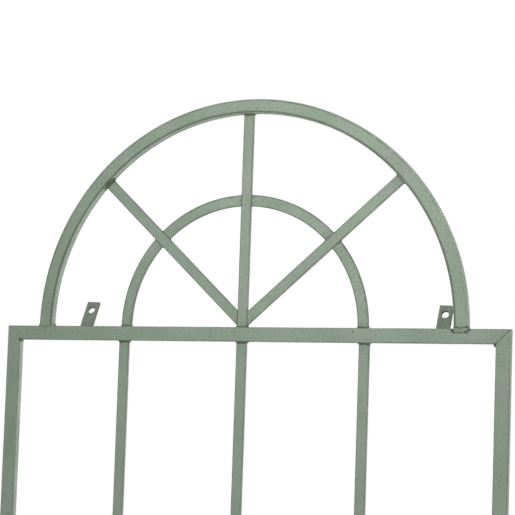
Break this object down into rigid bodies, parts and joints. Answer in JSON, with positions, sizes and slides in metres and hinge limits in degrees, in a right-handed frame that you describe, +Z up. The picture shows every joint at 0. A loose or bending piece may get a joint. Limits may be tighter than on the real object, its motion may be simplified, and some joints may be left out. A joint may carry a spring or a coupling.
{
  "type": "metal trellis arch",
  "caption": "Flat welded steel wall trellis: a tube frame with uprights and cross bars, topped by a half-round fanlight arch with spokes and an inner ring.",
  "frame": {"origin": "centre of the bottom rail's underside, halfway through the frame's depth", "axes": "+X to the right along the width, +Y from the front towards the wall, +Z up"},
  "size_m": [0.74, 0.0357, 1.7999],
  "materials": {
    "frame_paint": "matt sage green paint, rubbed back and toned dark along edges and joints",
    "bar_paint": "matt sage green paint on flat bar, toned dark along edges",
    "tab_paint": "matt sage green paint, darker and thinner",
    "weld_paint": "lumpy weld beads under matt sage green paint, dark in the hollows"
  },
  "bodies": {
    "root": {"left_post": "frame_paint", "right_post": "frame_paint", "top_rail": "frame_paint", "bottom_rail": "frame_paint", "outer_arch": "frame_paint", "centre_spoke": "bar_paint", "left_spoke": "bar_paint", "right_spoke": "bar_paint", "ring_left_lower": "bar_paint", "ring_left_upper": "bar_paint", "ring_right_upper": "bar_paint", "ring_right_lower": "bar_paint", "left_upright": "bar_paint", "centre_upright": "bar_paint", "right_upright": "bar_paint", "cross_bar_1_left_outer": "bar_paint", "cross_bar_1_left_inner": "bar_paint", "cross_bar_1_right_inner": "bar_paint", "cross_bar_1_right_outer": "bar_paint", "cross_bar_2_left_outer": "bar_paint", "cross_bar_2_left_inner": "bar_paint", "cross_bar_2_right_inner": "bar_paint", "cross_bar_2_right_outer": "bar_paint", "cross_bar_3_left_outer": "bar_paint", "cross_bar_3_left_inner": "bar_paint", "cross_bar_3_right_inner": "bar_paint", "cross_bar_3_right_outer": "bar_paint", "left_wall_tab": "tab_paint", "right_wall_tab": "tab_paint", "corner_welds": "weld_paint", "arch_foot_welds": "weld_paint", "spoke_tip_welds": "weld_paint", "hub_welds": "weld_paint", "ring_welds": "weld_paint", "bar_end_welds": "weld_paint", "cross_bar_welds": "weld_paint", "tab_welds": "weld_paint"}
  },
  "joints": []
}
